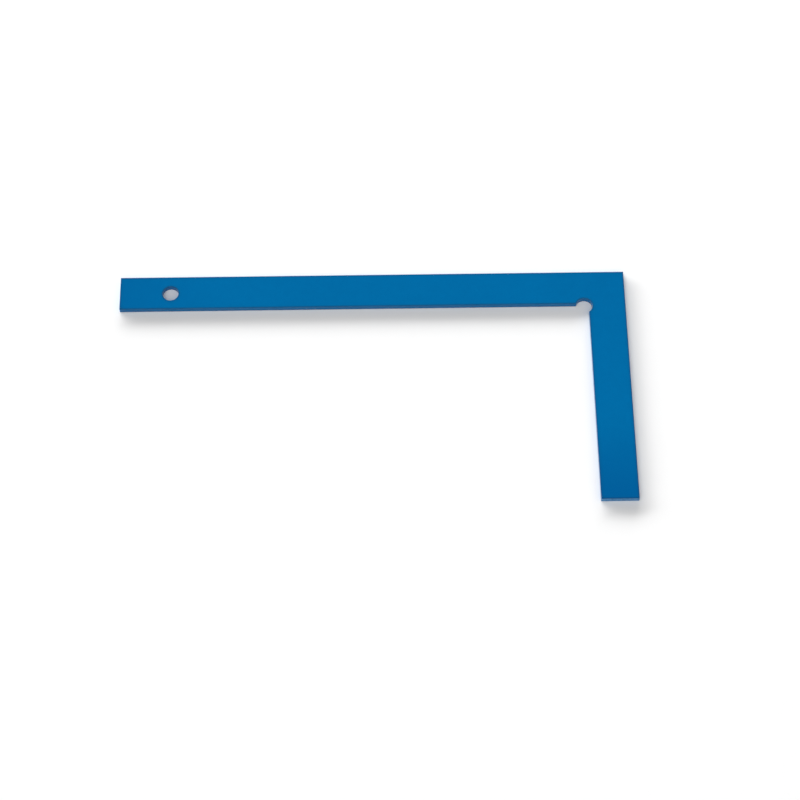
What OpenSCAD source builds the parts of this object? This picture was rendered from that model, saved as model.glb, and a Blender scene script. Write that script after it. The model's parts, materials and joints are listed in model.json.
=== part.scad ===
// Flat steel square: two lengths of flat bar, mitred at the corner and welded on both faces.
// Units are millimetres. The square lies flat on z = 0, centred on the origin, with the long
// leg along X and the short leg running from the outer corner towards -Y.

/* [Legs] */
// Length of the long leg along its outer edge
long_length = 400; // [300:10:600]
// Length of the short leg along its outer edge
short_length = 200; // [150:10:300]
// Width of both legs, outer edge to inner edge
leg_width = 29; // [26:0.5:36]
// Thickness of the flat bar
thickness = 4.5; // [3:0.5:6]

/* [Hanging hole] */
// Diameter of the hanging hole
hole_diameter = 12.5; // [8:0.5:14]
// Distance from the free end of the long leg to the centre of the hole
hole_from_end = 40; // [25:1:80]
// Distance from the outer edge to the centre of the hole
hole_from_edge = 15; // [12:0.5:16]

/* [Corner relief] */
// Diameter of the round relief at the inner corner
relief_diameter = 13; // [10:0.5:16]
// Distance of the relief's centre from the inner corner, along the long leg
relief_along_long = 3.6; // [0:0.2:4]
// Distance of the relief's centre from the inner corner, along the short leg
relief_along_short = 1.8; // [0:0.2:4]

/* [Corner weld] */
// Height of the two mitred ends that meet at mid-thickness, left square between the grooves
root_face = 1; // [0.5:0.25:1.5]
// Angle of each groove's side from the mitre's plane
groove_angle = 30; // [20:5:40]

/* [Finish] */
// Colour of the lacquer over legs and welds
lacquer = "#016ba7"; // ["#016ba7":blue, "#9a1c1c":red, "#3c3f42":grey]

/* [Hidden] */
$fn = 96;
overshoot = 5;                                // how far a cutter runs past what it cuts
corner = [long_length / 2, short_length / 2]; // the outer corner, where both outer edges meet
free_end = -long_length / 2;                  // x of the long leg's free end
short_end = -short_length / 2;                // y of the short leg's free end
inner = corner - [leg_width, leg_width];      // the inner corner, where both inner edges meet
hole_centre = [free_end + hole_from_end, corner.y - hole_from_edge];
relief_centre = inner - [relief_along_long, relief_along_short];
groove_depth = (thickness - root_face) / 2;
mitre_length = leg_width * sqrt(2);

// Outline of the long leg, its mitred end running from the outer corner to the inner one
module long_outline() {
    polygon([[free_end, inner.y], inner, corner, [free_end, corner.y]]);
}

// Outline of the short leg, the other side of the mitre
module short_outline() {
    polygon([inner, [inner.x, short_end], [corner.x, short_end], corner]);
}

// A round hole through both faces
module through_hole(centre, diameter) {
    translate([centre.x, centre.y, -overshoot])
        cylinder(d = diameter, h = thickness + 2 * overshoot);
}

// Section across the V-groove in the upper face: its point is at the root face, and extra
// carries the same slope on above the face
module groove_section(extra) {
    height = groove_depth + extra;
    half_width = height * tan(groove_angle);
    polygon([[0, 0], [half_width, height], [-half_width, height]]);
}

// The groove's section run along the mitre, from past the inner corner to past the outer one
module upper_groove(extra = 0) {
    translate([corner.x, corner.y, thickness - groove_depth])
        rotate([0, 0, 45])
            translate([overshoot, 0, 0])
                rotate([90, 0, -90])
                    linear_extrude(mitre_length + 2 * overshoot) groove_section(extra);
}

// The same groove in the lower face
module lower_groove(extra = 0) {
    translate([0, 0, thickness])
        mirror([0, 0, 1]) upper_groove(extra);
}

// A bar of the given outline, with both grooves bevelled on its mitred end and the relief cut
module prepared_bar() {
    difference() {
        linear_extrude(thickness) children();
        upper_groove(overshoot);
        lower_groove(overshoot);
        through_hole(relief_centre, relief_diameter);
    }
}

// Weld metal that fills a groove, ground flush with the face, the outer edges and the relief
module ground_weld() {
    difference() {
        intersection() {
            children();
            linear_extrude(thickness) union() {
                long_outline();
                short_outline();
            }
        }
        through_hole(relief_centre, relief_diameter);
    }
}

module long_leg() {
    color(lacquer) difference() {
        prepared_bar() long_outline();
        through_hole(hole_centre, hole_diameter);
    }
}

module short_leg() {
    color(lacquer) prepared_bar() short_outline();
}

module upper_corner_weld() {
    color(lacquer) ground_weld() upper_groove();
}

module lower_corner_weld() {
    color(lacquer) ground_weld() lower_groove();
}

long_leg();
short_leg();
upper_corner_weld();
lower_corner_weld();
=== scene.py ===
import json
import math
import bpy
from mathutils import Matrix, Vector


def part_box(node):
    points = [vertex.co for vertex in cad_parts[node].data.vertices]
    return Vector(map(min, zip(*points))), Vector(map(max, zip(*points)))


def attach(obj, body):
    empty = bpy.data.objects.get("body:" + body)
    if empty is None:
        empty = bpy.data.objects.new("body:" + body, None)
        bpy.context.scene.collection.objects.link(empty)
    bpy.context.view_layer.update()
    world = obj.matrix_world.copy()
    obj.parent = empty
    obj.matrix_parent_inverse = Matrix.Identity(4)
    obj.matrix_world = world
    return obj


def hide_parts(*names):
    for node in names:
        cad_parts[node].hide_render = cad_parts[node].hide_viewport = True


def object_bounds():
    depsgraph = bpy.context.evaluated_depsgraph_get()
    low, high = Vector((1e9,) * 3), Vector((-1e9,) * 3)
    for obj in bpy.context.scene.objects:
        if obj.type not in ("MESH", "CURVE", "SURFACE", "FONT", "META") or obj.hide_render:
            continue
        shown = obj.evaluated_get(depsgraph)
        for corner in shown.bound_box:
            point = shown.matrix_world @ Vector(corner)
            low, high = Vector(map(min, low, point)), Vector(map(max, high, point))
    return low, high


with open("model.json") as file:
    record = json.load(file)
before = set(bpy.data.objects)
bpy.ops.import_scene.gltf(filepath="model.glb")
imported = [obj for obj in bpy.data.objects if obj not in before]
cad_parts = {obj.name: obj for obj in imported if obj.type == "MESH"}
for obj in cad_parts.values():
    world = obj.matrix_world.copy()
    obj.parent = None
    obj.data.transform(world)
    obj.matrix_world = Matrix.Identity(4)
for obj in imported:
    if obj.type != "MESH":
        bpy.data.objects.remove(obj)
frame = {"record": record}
cad_low, cad_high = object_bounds()

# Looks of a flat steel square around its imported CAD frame, in metres. The square is built once
# as a whole plate with broken edges and a lacquered surface, then cut along the weld grooves
# into the same four pieces as the CAD.

from types import SimpleNamespace

import bmesh
import bpy
import numpy as np
from mathutils import Euler, Vector, geometry

MM = 1e-3
UM = 1e-6

# ---------------------------------------------------------------- sizes that the frame doesn't hold
RELIEF_RADIUS = 6.5 * MM
RELIEF_FROM_INNER_CORNER = np.array([3.6, 1.8]) * MM
GROOVE_ANGLE = math.radians(30)  # between the mitre and each side of a weld groove
EDGE_RADIUS = 0.22 * MM          # broken edge between a face and a side
CORNER_RADIUS = 0.3 * MM         # broken corner, seen from above

# How finely the plate is meshed
EDGE_STEPS = 5                              # steps around a broken edge
SUPPORT_INSET = 0.28 * MM                   # inset of the last ring, just inside the broken edge
SIDE_ROWS = np.array([0.8, 1.5]) * MM       # depths of the rings down each side
STRAIGHT_STEP = 2.5 * MM                    # spacing of points along a straight side
ARC_STEP = 0.4 * MM                         # spacing of points along an arc
FEWEST_ARC_STEPS = 4
FACE_ROWS = np.array([0.7, 1.3, 2.0]) * MM  # insets of the rows of points that follow the edges
ROW_CLEARANCE = 0.97                        # share of its inset that a row keeps from every edge
GRID_STEP = 2.0 * MM                        # spacing of the grid of points over a flat face
GRID_GAP = 0.4 * GRID_STEP                  # gap between the last row and the grid
NEAREST_POINTS = 0.35 * MM                  # least spacing of points over a flat face
SAME_POINT = 1e-4 * MM                      # distance within which two points are one

# How far the lacquered faces lie under the plane through their edges
FILM_RIDGE = 0.022 * MM    # lacquer is thicker along the edges
FILM_RIDGE_WIDTH = 2.4 * MM
WELD_DISH = 0.045 * MM     # the ground weld is slightly hollow
WELD_DISH_WIDTH = 5 * MM
ROLLING_WAVE = 0.008 * MM  # rolled bar is never quite flat
SLOPE_STEP = 0.05 * MM     # step to each side over which a slope is measured

# ---------------------------------------------------------------- places taken from the frame
long_low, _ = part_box("long_leg")
short_low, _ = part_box("short_leg")
upper_weld_low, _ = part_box("upper_corner_weld")
_, lower_weld_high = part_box("lower_corner_weld")
hole = next(m for m in frame["record"]["mounts"] if m["name"] == "hanging_hole")

top = cad_high.z
outer_corner = np.array([cad_high.x, cad_high.y])
inner_corner = np.array([short_low.x, long_low.y])
relief_centre = inner_corner - RELIEF_FROM_INNER_CORNER
hole_centre = np.array(hole["pos_m"][:2])
hole_radius = hole["dims"]["r_mm"] * MM

# The mitre's plane stands on the line between the two corners. This points straight across it,
# into the long leg.
mitre_across = np.array([-1.0, 1.0]) / math.sqrt(2)


def place_in_scene(name, data):
    """An object that holds data, in the scene."""
    made = bpy.data.objects.new(name, data)
    bpy.context.scene.collection.objects.link(made)
    return made


# ---------------------------------------------------------------- outline of the plate
def arc(centre, radius, start, end):
    """Points along an arc and the metal's outward normals there, which point to the arc's centre
    if it runs clockwise."""
    count = max(FEWEST_ARC_STEPS, math.ceil(radius * abs(end - start) / ARC_STEP))
    angles = np.linspace(start, end, count + 1)
    rays = np.stack([np.cos(angles), np.sin(angles)], 1)
    return centre + radius * rays, math.copysign(1, end - start) * rays


def joined(arcs):
    """One closed loop through the arcs in order, with points along the straight runs between."""
    points, normals = [], []
    for this, following in zip(arcs, arcs[1:] + arcs[:1]):
        points.append(this[0])
        normals.append(this[1])
        run = following[0][0] - this[0][-1]
        count = math.ceil(np.linalg.norm(run) / STRAIGHT_STEP)
        shares = np.arange(1, count) / max(count, 1)
        points.append(this[0][-1] + shares[:, None] * run)
        normals.append(np.repeat(this[1][-1:], len(shares), 0))
    points, normals = np.concatenate(points), np.concatenate(normals)
    distinct = np.linalg.norm(points - np.roll(points, -1, 0), axis=1) > SAME_POINT
    return points[distinct], normals[distinct]


def corner_arc(x, y, inward, start):
    """The broken corner of a right angle at x, y, whose metal lies in the inward direction."""
    centre = np.array([x, y]) + CORNER_RADIUS * np.array(inward)
    return arc(centre, CORNER_RADIUS, math.radians(start), math.radians(start + 90))


def plate_outline():
    """The L-shaped outline, anticlockwise, with the round relief at the inner corner."""
    # Centres of the broken corners where the relief meets each leg's inner side
    reach = RELIEF_RADIUS + CORNER_RADIUS
    rise = inner_corner[1] + CORNER_RADIUS - relief_centre[1]
    run = inner_corner[0] + CORNER_RADIUS - relief_centre[0]
    long_lip = relief_centre + np.array([-math.sqrt(reach**2 - rise**2), rise])
    short_lip = relief_centre + np.array([run, -math.sqrt(reach**2 - run**2)])
    out_of_long = math.atan2(*(long_lip - relief_centre)[::-1])
    out_of_short = math.atan2(*(short_lip - relief_centre)[::-1])
    return joined([
        corner_arc(long_low.x, inner_corner[1], (1, 1), 180),
        arc(long_lip, CORNER_RADIUS, math.radians(-90), out_of_long - math.pi),
        arc(relief_centre, RELIEF_RADIUS, out_of_long, out_of_short),
        arc(short_lip, CORNER_RADIUS, out_of_short + math.pi, math.radians(180)),
        corner_arc(inner_corner[0], short_low.y, (1, 1), 180),
        corner_arc(outer_corner[0], short_low.y, (-1, 1), 270),
        corner_arc(outer_corner[0], outer_corner[1], (-1, -1), 0),
        corner_arc(long_low.x, outer_corner[1], (1, -1), 90),
    ])


def hole_outline():
    """The hanging hole, clockwise, so that the metal is on the loop's left."""
    points, normals = arc(hole_centre, hole_radius, 2 * math.pi, 0)
    return points[:-1], normals[:-1]


# ---------------------------------------------------------------- flat faces
def inside(loops, points):
    """True for each point in the metal: a line from it along X crosses the loops an odd number
    of times."""
    crossings = np.zeros(len(points), int)
    for loop in loops:
        for a, b in zip(loop, np.roll(loop, -1, 0)):
            spans = (a[1] > points[:, 1]) != (b[1] > points[:, 1])
            rise = b[1] - a[1] if b[1] != a[1] else 1.0  # a level side spans nothing
            met_at = a[0] + (points[:, 1] - a[1]) / rise * (b[0] - a[0])
            crossings += spans & (points[:, 0] < met_at)
    return crossings % 2 == 1


def distance_to(loops, points):
    """Distance from each point to the nearest side of the loops."""
    nearest = np.full(len(points), np.inf)
    for loop in loops:
        for a, b in zip(loop, np.roll(loop, -1, 0)):
            side = b - a
            share = np.clip((points - a) @ side / (side @ side), 0, 1)
            away = np.linalg.norm(points - a - share[:, None] * side, axis=1)
            nearest = np.minimum(nearest, away)
    return nearest


def smooth(x):
    """0 below 0, 1 above 1, and an even ease between."""
    x = np.clip(x, 0, 1)
    return x * x * (3 - 2 * x)


def lowering(loops, points):
    """How far each point of a face lies under the plane through the face's edges."""
    x, y = points[:, 0], points[:, 1]
    across = (points - outer_corner) @ mitre_across
    dish = WELD_DISH * np.exp(-((across / WELD_DISH_WIDTH) ** 2))
    # Two waves cross the bar, about 66 mm long along X and 48 mm long along Y
    long_wave = np.sin(x / (10.5 * MM) + 2 * np.sin(y / (16.5 * MM)))
    cross_wave = np.sin(y / (7.7 * MM) + x / (24 * MM))
    wave = 1 + (long_wave + cross_wave) / 2
    shelf = smooth((distance_to(loops, points) - EDGE_RADIUS) / FILM_RIDGE_WIDTH)
    return shelf * (FILM_RIDGE + dish + ROLLING_WAVE * wave)


def grid_points(loops):
    """An even grid of points over the middle of the face, clear of the rows along its edges."""
    low, high = loops[0].min(0), loops[0].max(0)
    grid = np.meshgrid(*(np.arange(low[k], high[k], GRID_STEP) for k in (0, 1)))
    grid = np.stack([g.ravel() for g in grid], 1)
    grid = grid[inside(loops, grid)]
    return grid[distance_to(loops, grid) > FACE_ROWS[-1] + GRID_GAP]


def edge_rows(outlines, loops):
    """Rows of points at a few insets from the outlines, left out where they'd crowd a corner."""
    silhouettes = [points for points, _ in outlines]
    rows = []
    for inset in FACE_ROWS:
        for points, normals in outlines:
            row = (points - inset * normals)[::2]
            clear = distance_to(silhouettes, row) > ROW_CLEARANCE * inset
            rows.append(row[inside(loops, row) & clear])
    return np.concatenate(rows)


def thinned(points, spacing):
    """The points without any that lies within spacing of an earlier one."""
    kept, cells = [], {}
    for point in points:
        column, row = (int(coordinate // spacing) for coordinate in point)
        around = [(column + i, row + j) for i in (-1, 0, 1) for j in (-1, 0, 1)]
        near = [other for cell in around for other in cells.get(cell, [])]
        if all(np.hypot(*(point - other)) >= spacing for other in near):
            kept.append(point)
            cells.setdefault((column, row), []).append(point)
    return np.array(kept)


def triangulated(loops, inner_points):
    """Triangles over the metal between the loops, as indices into the loops' points followed by
    the inner ones. It works in millimetres, and leaves out triangles of hardly any area."""
    touching = 1e-5
    least_area = 5e-7
    points = np.concatenate([*loops, inner_points]) / MM
    sides, first = [], 0
    for loop in loops:
        count = len(loop)
        sides += [(first + i, first + (i + 1) % count) for i in range(count)]
        first += count
    made = geometry.delaunay_2d_cdt([Vector(p) for p in points], sides, [], 0, touching, True)
    source = [origins[0] for origins in made[3]]
    triangles = np.array([[source[i] for i in face] for face in made[2]])
    a, b, c = (points[triangles[:, k]] for k in range(3))
    turn = (b - a)[:, 0] * (c - a)[:, 1] - (b - a)[:, 1] * (c - a)[:, 0]
    triangles = np.where(turn[:, None] > 0, triangles, triangles[:, ::-1])
    return triangles[inside(loops, (a + b + c) / 3 * MM) & (abs(turn) / 2 > least_area)]


# ---------------------------------------------------------------- the whole plate
def edge_rings():
    """Inset, depth under the upper face, tilt of the normal and distance from the broken edge,
    for each ring around the upper half of the plate, from the top down."""
    rings = [(SUPPORT_INSET, 0.0, math.pi / 2, SUPPORT_INSET - EDGE_RADIUS)]
    for tilt in np.linspace(math.pi / 2, 0, EDGE_STEPS + 1):
        inset = EDGE_RADIUS * (1 - math.cos(tilt))
        depth = EDGE_RADIUS * (1 - math.sin(tilt))
        rings.append((inset, depth, tilt, 0.0))
    for depth in SIDE_ROWS:
        rings.append((0.0, depth, 0.0, depth - EDGE_RADIUS))
    return rings


def all_rings():
    """Inset, height, tilt and distance from the edge of every ring, from the underside up."""
    rings = edge_rings()
    lower = [(inset, depth, -tilt, away) for inset, depth, tilt, away in rings]
    upper = [(inset, top - depth, tilt, away) for inset, depth, tilt, away in reversed(rings)]
    return lower + upper


class Skin:
    """A bmesh whose layers hold each vertex's surface normal and its distance from the nearest
    edge, and each face's skin flag, which the cuts leave at 0 on inner faces."""

    def __init__(self):
        self.bm = bmesh.new()
        self.normal_layer = self.bm.verts.layers.float_vector.new("surface_normal")
        self.edge_layer = self.bm.verts.layers.float.new("from_edge")
        self.skin_layer = self.bm.faces.layers.int.new("skin")

    def vertex(self, place, normal, from_edge):
        made = self.bm.verts.new(place)
        made[self.normal_layer] = normal
        made[self.edge_layer] = from_edge
        return made

    def face(self, *corners):
        self.bm.faces.new(corners)[self.skin_layer] = 1


def add_wall(skin, points, normals):
    """Adds the wall around one outline, and returns its lowest and highest ring."""
    rings = []
    for inset, height, tilt, away in all_rings():
        rings.append([
            skin.vertex((*p, height), (*(math.cos(tilt) * n), math.sin(tilt)), away)
            for p, n in zip(points - inset * normals, normals)
        ])
    for below, above in zip(rings, rings[1:]):
        for i in range(len(below)):
            j = (i + 1) % len(below)
            skin.face(below[i], below[j], above[j], above[i])
    return rings[0], rings[-1]


def add_faces(skin, outlines, lower_rim, upper_rim):
    """Adds the lower and the upper face, each between its rim's rings."""
    loops = [points - SUPPORT_INSET * normals for points, normals in outlines]
    silhouettes = [points for points, _ in outlines]
    inner = np.concatenate([edge_rows(outlines, loops), grid_points(loops)])
    inner = thinned(inner, NEAREST_POINTS)
    triangles = triangulated(loops, inner)
    depth = lowering(silhouettes, inner)
    away = distance_to(silhouettes, inner) - EDGE_RADIUS
    steps = np.eye(2) * SLOPE_STEP
    rises = [lowering(silhouettes, inner + s) - lowering(silhouettes, inner - s) for s in steps]
    slopes = np.stack(rises, 1) / (2 * SLOPE_STEP)
    for rim, sign in ((upper_rim, 1), (lower_rim, -1)):
        height = top / 2 + sign * (top / 2 - depth)
        corners = rim + [
            skin.vertex((x, y, z), Vector((a, b, sign)).normalized(), d)
            for (x, y), z, (a, b), d in zip(inner, height, slopes, away)
        ]
        for triangle in triangles:
            skin.face(*(corners[i] for i in triangle[::sign]))


def plate():
    """The whole square as one closed bmesh, with the layers of its skin."""
    skin = Skin()
    outlines = [plate_outline(), hole_outline()]
    lower_rim, upper_rim = [], []
    for points, normals in outlines:
        lowest, highest = add_wall(skin, points, normals)
        lower_rim += lowest
        upper_rim += highest
    add_faces(skin, outlines, lower_rim, upper_rim)
    return skin.bm


# ---------------------------------------------------------------- cutting the plate into its pieces
def cut(bm, point, normal):
    """Removes what lies on the side that normal points to, and closes the cut with one face."""
    bmesh.ops.bisect_plane(
        bm,
        geom=bm.verts[:] + bm.edges[:] + bm.faces[:],
        dist=SAME_POINT,
        plane_co=point,
        plane_no=normal,
        clear_outer=True,
    )
    bmesh.ops.holes_fill(bm, edges=[e for e in bm.edges if e.is_boundary], sides=0)


def piece(node, whole, cuts, material):
    """Adds a piece: a copy of the whole plate cut by each plane in cuts, standing for its node."""
    name = node + "_lacquered"
    bm = whole.copy()
    for point, normal in cuts:
        cut(bm, point, normal)
    bmesh.ops.recalc_face_normals(bm, faces=bm.faces)
    caps = [f for f in bm.faces if len(f.verts) > 4]
    bmesh.ops.triangulate(bm, faces=caps)
    bm.normal_update()
    normal_layer = bm.verts.layers.float_vector["surface_normal"]
    skin_layer = bm.faces.layers.int["skin"]
    shading = [
        v[normal_layer].normalized() if f[skin_layer] else f.normal.copy()
        for f in bm.faces for v in f.verts
    ]
    mesh = bpy.data.meshes.new(name)
    bm.to_mesh(mesh)
    bm.free()
    mesh.shade_smooth()
    mesh.normals_split_custom_set(shading)
    for layer in ("surface_normal", "skin"):
        mesh.attributes.remove(mesh.attributes[layer])
    mesh.materials.append(material)
    made = place_in_scene(name, mesh)
    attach(made, "root")
    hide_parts(node)


def pieces(legs_finish, welds_finish):
    """Adds the four pieces, cut along the mitre and the sides of the two grooves."""
    across = Vector((*mitre_across, 0))
    up = Vector((0, 0, 1))
    upper_root = Vector((*outer_corner, upper_weld_low.z))
    lower_root = Vector((*outer_corner, lower_weld_high.z))

    def groove_side(side, upward):
        """Normal of a groove's side, pointing out of the bar and into the weld. side is 1 on the
        long leg and -1 on the short one, upward 1 for the upper groove and -1 for the lower."""
        return -side * math.cos(GROOVE_ANGLE) * across + upward * math.sin(GROOVE_ANGLE) * up

    whole = plate()
    for node, side in (("long_leg", 1), ("short_leg", -1)):
        cuts = [
            (upper_root, -side * across),
            (upper_root, groove_side(side, 1)),
            (lower_root, groove_side(side, -1)),
        ]
        piece(node, whole, cuts, legs_finish)
    welds = (("upper_corner_weld", upper_root, 1), ("lower_corner_weld", lower_root, -1))
    for node, root, upward in welds:
        cuts = [(root, -groove_side(side, upward)) for side in (1, -1)]
        piece(node, whole, cuts, welds_finish)
    whole.free()


# ---------------------------------------------------------------- materials
# Linear colours
FULL_BLUE = (0.0, 0.120, 0.317, 1)
PALE_BLUE = (0.0, 0.140, 0.359, 1)
PAINTED_END_SHADE_BLUE = (0.0, 0.102, 0.298, 1)        # painted shade, darker towards the free ends
PAINTED_END_LIGHT_BLUE = (0.10, 0.31, 0.58, 1)           # painted light, paler on a sawn end
STEEL_AND_EDGE_SHADE_BLUE = (0.01, 0.035, 0.07, 1)  # steel seen through a thin film, and painted shade along the edges
DULL_WHITE = (0.90, 0.90, 0.90, 1)
CLEAN_WHITE = (0.92, 0.92, 0.92, 1)


class Nodes:
    """Short calls for building a node tree."""

    def __init__(self, owner):
        owner.use_nodes = True
        self.tree = owner.node_tree

    def add(self, kind, inputs=(), **settings):
        node = self.tree.nodes.new("ShaderNode" + kind)
        for key, value in settings.items():
            setattr(node, key, value)
        for socket, value in dict(inputs).items():
            self.feed(node.inputs[socket], value)
        return node

    def feed(self, socket, value):
        if isinstance(value, bpy.types.NodeSocket):
            self.tree.links.new(value, socket)
        else:
            socket.default_value = value

    def maths(self, operation, a, b=0.0, c=0.0, clamped=False):
        node = self.add("Math", {0: a, 1: b, 2: c}, operation=operation, use_clamp=clamped)
        return node.outputs[0]

    def ramp(self, value, low, high, to_low=0.0, to_high=1.0):
        """value from low..high to to_low..to_high, held at the ends."""
        given = {"Value": value, "From Min": low, "From Max": high}
        return self.add("MapRange", {**given, "To Min": to_low, "To Max": to_high}).outputs[0]

    def noise(self, place, grain, detail=2.0, roughness=0.5):
        """Noise around 0.5, whose coarsest lumps are about a grain across."""
        inputs = {"Vector": place, "Scale": 1 / grain, "Detail": detail, "Roughness": roughness}
        return self.add("TexNoise", inputs).outputs["Fac"]

    def streaks(self, place, grain, stretch, turn=0.0, roughness=0.6):
        """Noise stretched along some axes, after turning about Z by an angle."""
        inputs = {"Vector": place, "Rotation": (0, 0, turn), "Scale": stretch}
        stretched = self.add("Mapping", inputs).outputs[0]
        return self.noise(stretched, grain, detail=3, roughness=roughness)

    def spots(self, place, spacing, size, share):
        """Small round spots, about one per spacing and up to size across, in a share of places."""
        cells = self.add("TexVoronoi", {"Vector": place, "Scale": 1 / spacing}).outputs
        lot = self.add("SeparateColor", {"Color": cells["Color"]}).outputs[0]
        spot = self.ramp(cells["Distance"], 0, 0.5 * size / spacing, 1, 0)
        return self.maths("MULTIPLY", spot, self.maths("LESS_THAN", lot, share))

    def mix(self, share, a, b):
        """Colour a, with a share of colour b over it."""
        inputs = {"Factor": share, "A": a, "B": b}
        return self.add("Mix", inputs, data_type="RGBA").outputs["Result"]

    def total(self, parts, start=0.0):
        """start plus each part times its own weight."""
        for part, weight in parts:
            start = self.maths("MULTIPLY_ADD", part, weight, start)
        return start


def new_material(name):
    """A material, its nodes and its shader's inputs."""
    material = bpy.data.materials.new(name)
    n = Nodes(material)
    return material, n, n.tree.nodes["Principled BSDF"].inputs


def regions(n, place):
    """Where the lacquer and the steel under it differ, and where shade and light are painted, each
    from 0 to 1.
    """
    x, y, _ = n.add("SeparateXYZ", {"Vector": place}).outputs
    from_short_end = n.maths("SUBTRACT", y, float(short_low.y))
    from_long_end = n.maths("SUBTRACT", x, float(long_low.x))
    nearest_end = n.maths("MINIMUM", from_short_end, from_long_end)
    from_corner_x = n.maths("SUBTRACT", x, float(outer_corner[0]))
    from_corner_y = n.maths("SUBTRACT", y, float(outer_corner[1]))
    from_mitre = n.maths("ABSOLUTE", n.maths("SUBTRACT", from_corner_y, from_corner_x))
    facing = n.add("NewGeometry").outputs["True Normal"]
    flat = n.maths("ABSOLUTE", n.add("SeparateXYZ", {"Vector": facing}).outputs["Z"])
    from_edge = n.add("Attribute", attribute_name="from_edge").outputs["Fac"]

    painted_end_shade = n.maths(
        "ADD",
        n.ramp(from_short_end, 6 * MM, 62 * MM, 1.0, 0.0),
        n.ramp(from_long_end, 6 * MM, 75 * MM, 0.4, 0.0),
    )
    # The lacquer has drawn back from each edge along a ragged line, and is thin for a little way
    # behind it. Both show more on the flat faces than on the sides. The dark colour they give along
    # the edges is partly painted shade, and the flat faces also get a soft painted shade towards
    # every edge.
    ragged_edge = n.maths("MULTIPLY_ADD", n.noise(place, 1.1 * MM, detail=3), 1.0 * MM, from_edge)
    strength = n.ramp(flat, 0, 1, 0.08, 0.3)
    drawn_back_and_edge_shade = n.ramp(ragged_edge, 0.7 * MM, 1.3 * MM, strength, 0.0)
    # painted shade: the flat faces darken softly towards every edge
    painted_edge_shade = n.ramp(from_edge, 0.0, 2.2 * MM, n.maths("MULTIPLY", flat, 0.2), 0.0)
    return SimpleNamespace(
        painted_end_shade=painted_end_shade,                                               # painted shade, darker near a free end
        sawn=n.ramp(nearest_end, 0.05 * MM, 0.15 * MM, 1.0, 0.0),  # on a free end
        ground=n.ramp(from_mitre, 5 * MM, 12 * MM, 1.0, 0.0),      # over the weld
        side=n.maths("SUBTRACT", 1.0, flat),                       # upright
        drawn_back_and_edge_shade=drawn_back_and_edge_shade,
        thin_film_and_edge_shade=n.maths("ADD", drawn_back_and_edge_shade, painted_edge_shade),
    )


def lacquer(name, pinholes):
    """Blue lacquer sprayed on steel. It has orange peel, specks of dust and faint handling marks,
    is thin along the edges, and shows the sawn ends, the milled sides and the ground corner under
    it. Painted shade darkens it along the edges and towards the free ends, and painted light makes
    the sawn ends paler."""
    material, n, shader = new_material(name)
    place = n.add("TexCoord").outputs["Object"]
    on = regions(n, place)

    # Marks in the lacquer and in the steel under it
    peel = n.noise(place, 1.6 * MM, roughness=0.45)
    milling = n.streaks(place, 0.4 * MM, stretch=(0.02, 0.02, 1))
    sawing = n.streaks(place, 0.6 * MM, stretch=(1, 1, 0.04), roughness=0.7)
    grinding = n.streaks(
        place, 0.4 * MM, stretch=(1, 0.03, 1), turn=math.radians(45), roughness=0.7
    )
    milled = n.maths("MULTIPLY", n.maths("SUBTRACT", milling, 0.5), on.side)
    ground = n.maths("MULTIPLY", n.maths("SUBTRACT", grinding, 0.5), on.ground)
    sawn = n.maths("MULTIPLY", sawing, on.sawn)

    drift = n.noise(place, 110 * MM, detail=3)
    mottle = n.noise(place, 6.2 * MM, detail=4, roughness=0.6)
    shade = n.total([(drift, 0.9), (mottle, 0.7), (peel, 0.6), (milled, 1.6), (ground, 0.9)], -0.6)
    # painted light: the sawn ends are paler, in streaks along the saw marks
    saw_streaks_and_end_light = n.maths("MULTIPLY", on.sawn, n.ramp(sawing, 0.3, 0.7, 0.35, 0.85))
    colour = n.mix(shade, FULL_BLUE, PALE_BLUE)
    # painted shade: darker towards the free ends
    colour = n.mix(on.painted_end_shade, colour, PAINTED_END_SHADE_BLUE)
    colour = n.mix(saw_streaks_and_end_light, colour, PAINTED_END_LIGHT_BLUE)
    # thin lacquer over steel along the edges, partly painted shade
    colour = n.mix(on.thin_film_and_edge_shade, colour, STEEL_AND_EDGE_SHADE_BLUE)
    n.feed(shader["Base Color"], colour)

    handling = n.ramp(n.noise(place, 22 * MM, detail=5, roughness=0.6), 0.3, 0.7, 0.13, 0.19)
    n.feed(shader["Roughness"], n.total([(on.sawn, 0.25), (on.thin_film_and_edge_shade, 0.15)], handling))

    relief = [
        (peel, 50 * UM),
        (n.noise(place, 0.3 * MM), 2 * UM),
        (n.spots(place, spacing=11 * MM, size=0.6 * MM, share=0.3), 30 * UM),
        (milled, 40 * UM),
        (sawn, 150 * UM),
        (ground, 45 * UM),
        (on.drawn_back_and_edge_shade, -25 * UM),
    ]
    if pinholes:
        relief.append((n.spots(place, spacing=2.4 * MM, size=0.4 * MM, share=0.12), -60 * UM))
    bump = n.add("Bump", {"Height": n.total(relief), "Distance": 1.0})
    n.feed(shader["Normal"], bump.outputs[0])

    shader["Metallic"].default_value = 0.0
    shader["IOR"].default_value = 1.5
    shader["Specular IOR Level"].default_value = 0.2
    return material


def paper():
    """The pale floor."""
    material, n, shader = new_material("pale_floor")
    fleck = n.noise(n.add("TexCoord").outputs["Object"], 25 * MM, detail=3)
    n.feed(shader["Base Color"], n.mix(fleck, DULL_WHITE, CLEAN_WHITE))
    shader["Roughness"].default_value = 0.9
    shader["Specular IOR Level"].default_value = 0.1
    return material


# ---------------------------------------------------------------- stage
def floor():
    """A wide pale floor just under the square."""
    reach = 15.0  # metres
    gap = 20 * UM
    z = cad_low.z - gap
    corners = [(-reach, -reach, z), (reach, -reach, z), (reach, reach, z), (-reach, reach, z)]
    mesh = bpy.data.meshes.new("floor")
    mesh.from_pydata(corners, [], [(0, 1, 2, 3)])
    mesh.materials.append(paper())
    place_in_scene("floor", mesh)


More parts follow.
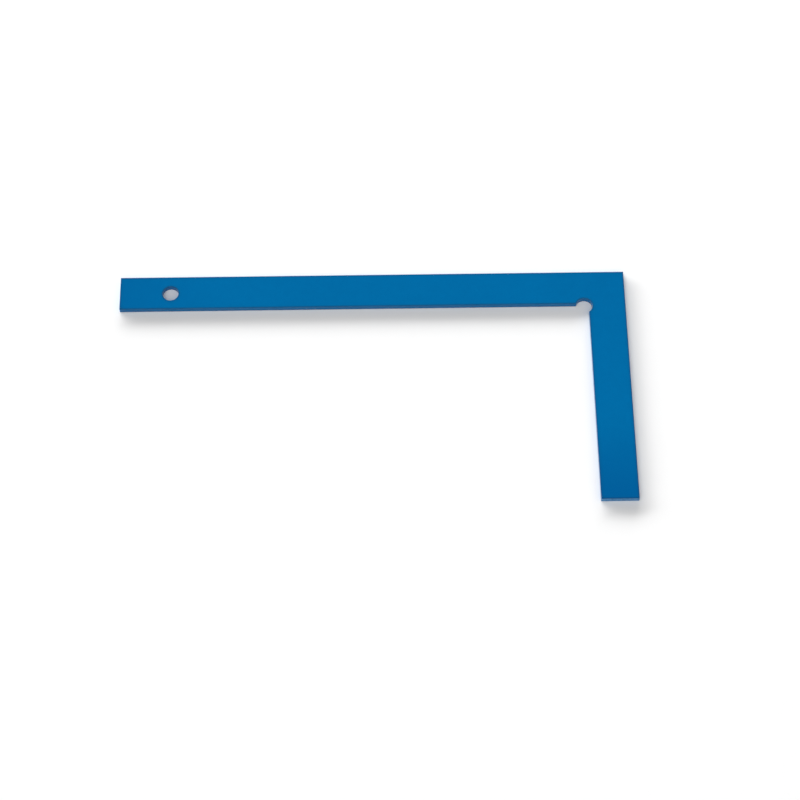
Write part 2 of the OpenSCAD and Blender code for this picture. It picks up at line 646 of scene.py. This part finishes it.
def direction(azimuth, elevation):
    """Unit vector towards a place in the sky. azimuth runs from -Y towards +X, in degrees."""
    a, e = math.radians(azimuth), math.radians(elevation)
    return Vector((math.sin(a) * math.cos(e), -math.cos(a) * math.cos(e), math.sin(e)))


def turned_to(azimuth, elevation):
    """Rotation of a light or camera that stands in that direction and looks back from it."""
    return Euler((math.radians(90 - elevation), 0, math.radians(azimuth)))


def light(name, kind, azimuth, elevation, power, distance=1.0):
    """A lamp that stands in the given direction and shines at the square."""
    data = bpy.data.lights.new(name, kind)
    data.energy = power
    made = place_in_scene(name, data)
    made.location = distance * direction(azimuth, elevation)
    made.rotation_euler = turned_to(azimuth, elevation)
    return made


def strip_light():
    """A long, low strip of soft boxes behind the square and to its left, which casts the
    shadow that spreads towards the front. It's polarised, so the lacquer doesn't mirror it."""
    made = light("strip_light", "AREA", azimuth=205, elevation=15, power=12900, distance=20)
    made.data.shape = "RECTANGLE"
    made.data.size = 40
    made.data.size_y = 4.8
    made.visible_camera = False
    made.visible_glossy = False


def overhead_light():
    """A broad soft box, high in front."""
    made = light("overhead_light", "SUN", azimuth=-25, elevation=60, power=1.43)
    made.data.angle = math.radians(60)


def side_light():
    """A weak soft box on the right."""
    made = light("side_light", "SUN", azimuth=75, elevation=42, power=0.3)
    made.data.angle = math.radians(50)


def room(horizon, zenith):
    """Soft light from the walls of a pale room that is dark overhead."""
    world = bpy.data.worlds.new("room")
    bpy.context.scene.world = world
    n = Nodes(world)
    up = n.add("SeparateXYZ", {"Vector": n.add("TexCoord").outputs["Generated"]}).outputs["Z"]
    lowness = n.maths("SUBTRACT", 1.0, up, clamped=True)
    level = n.ramp(n.maths("MULTIPLY", lowness, lowness), 0.0, 1.0, zenith, horizon)
    n.feed(n.tree.nodes["Background"].inputs["Color"], level)


def camera():
    """Looks down on the square from in front, with the short leg towards the camera."""
    azimuth, elevation, roll = -0.96, 61.9, 0.1
    distance = 1.685
    aim_shares = Vector((0.551, 0.4333, 1.0))  # of the way from the box's low to its high corner
    aim = cad_low + aim_shares * (cad_high - cad_low)
    data = bpy.data.cameras.new("camera")
    data.sensor_width = 36
    data.lens = 98.2
    made = place_in_scene("camera", data)
    made.location = aim + distance * direction(azimuth, elevation)
    made.rotation_euler = turned_to(azimuth, elevation)
    made.rotation_euler.rotate_axis("Z", math.radians(roll))
    bpy.context.scene.camera = made


# ---------------------------------------------------------------- the square and its stage
pieces(lacquer("leg_lacquer_finish", pinholes=False), lacquer("weld_lacquer_finish", pinholes=True))
floor()
strip_light()
overhead_light()
side_light()
room(horizon=0.66, zenith=0.03)
camera()
bpy.context.scene.view_settings.view_transform = "Standard"
